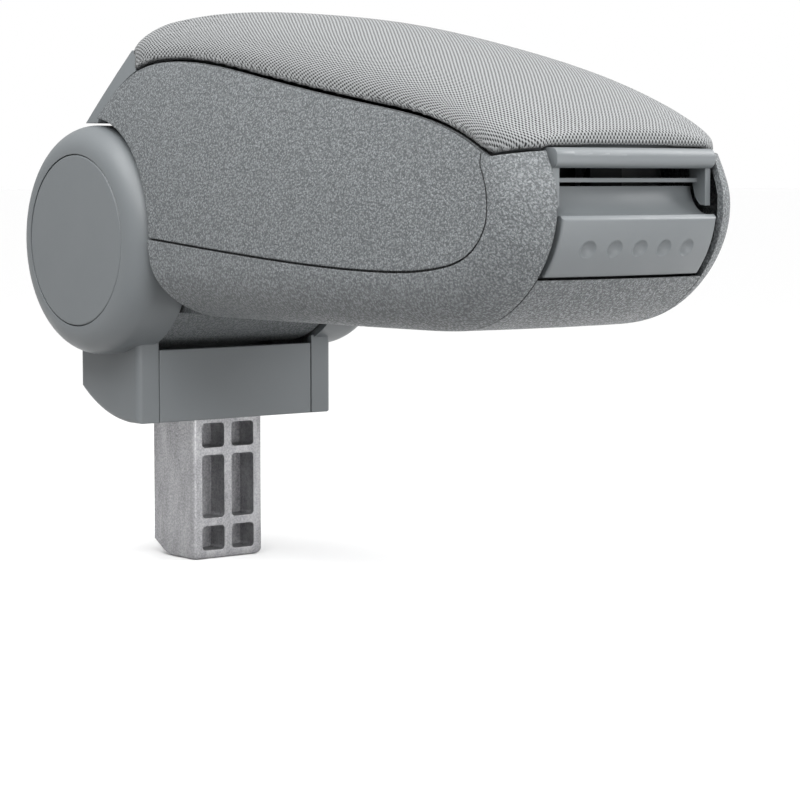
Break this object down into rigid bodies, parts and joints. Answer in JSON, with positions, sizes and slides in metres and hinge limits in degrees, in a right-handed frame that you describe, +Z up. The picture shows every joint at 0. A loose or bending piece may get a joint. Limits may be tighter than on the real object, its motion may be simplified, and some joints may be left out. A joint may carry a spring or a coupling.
{
  "type": "car centre armrest",
  "caption": "Padded car centre armrest: storage box with hinged fabric lid and release paddle, tilting between two round hubs on a bracket with a die-cast plug-in post.",
  "frame": {"origin": "centre of the post's section at the level where it leaves the bracket", "axes": "+X towards the nose with the paddle, +Y to the left, +Z up; the tilt axis runs along Y"},
  "size_m": [0.3339, 0.1418, 0.2425],
  "materials": {
    "satin_plastic": "smooth satin grey moulding",
    "grained_plastic": "grey moulding with leather grain",
    "dark_plastic": "dark grey inner moulding",
    "lid_fabric": "light grey fine woven cover over foam",
    "die_cast": "raw die-cast skin with light ground flanks",
    "steel": "bright zinc-plated steel",
    "nylon": "natural nylon"
  },
  "bodies": {
    "bracket": {"mount_post": "die_cast", "bracket_cover_left": "satin_plastic", "bracket_cover_right": "satin_plastic", "bracket_front_plate": "satin_plastic", "hub_cap_left": "satin_plastic", "hub_cap_right": "satin_plastic", "hinge_shaft": "steel", "shaft_nuts": "steel", "hinge_washers": "nylon", "cover_screws": "steel"},
    "box": {"side_shell_left": "grained_plastic", "side_shell_right": "grained_plastic", "side_inlay_left": "grained_plastic", "side_inlay_right": "grained_plastic", "bottom_shell": "grained_plastic", "storage_tray": "dark_plastic", "tray_screws": "steel", "hinge_arm_left": "steel", "hinge_arm_right": "steel", "arm_rivets": "steel", "hinge_bushes": "nylon", "latch_bracket": "dark_plastic", "latch_pin": "steel", "latch_spring": "steel", "lid_hinge_pin": "steel"},
    "lid": {"lid_base": "satin_plastic", "lid_striker": "steel", "striker_screws": "steel", "lid_cushion": "lid_fabric"},
    "latch": {"latch_paddle": "satin_plastic"}
  },
  "joints": [
    {"name": "box_tilt", "type": "hinge", "parent": "bracket", "child": "box", "pos_m": [0.0023, 0, 0.08], "axis": [0, -1, 0], "range_deg": [0, 90]},
    {"name": "lid_open", "type": "hinge", "parent": "box", "child": "lid", "pos_m": [-0.0097, 0, 0.134], "axis": [0, -1, 0], "range_deg": [0, 75]},
    {"name": "latch_press", "type": "hinge", "parent": "box", "child": "latch", "pos_m": [0.2693, 0, 0.0745], "axis": [0, -1, 0], "range_deg": [0, 5], "stiffness_Nm_per_rad": 0.8, "springref_deg": -5.73, "deforming": ["latch_spring"]}
  ]
}
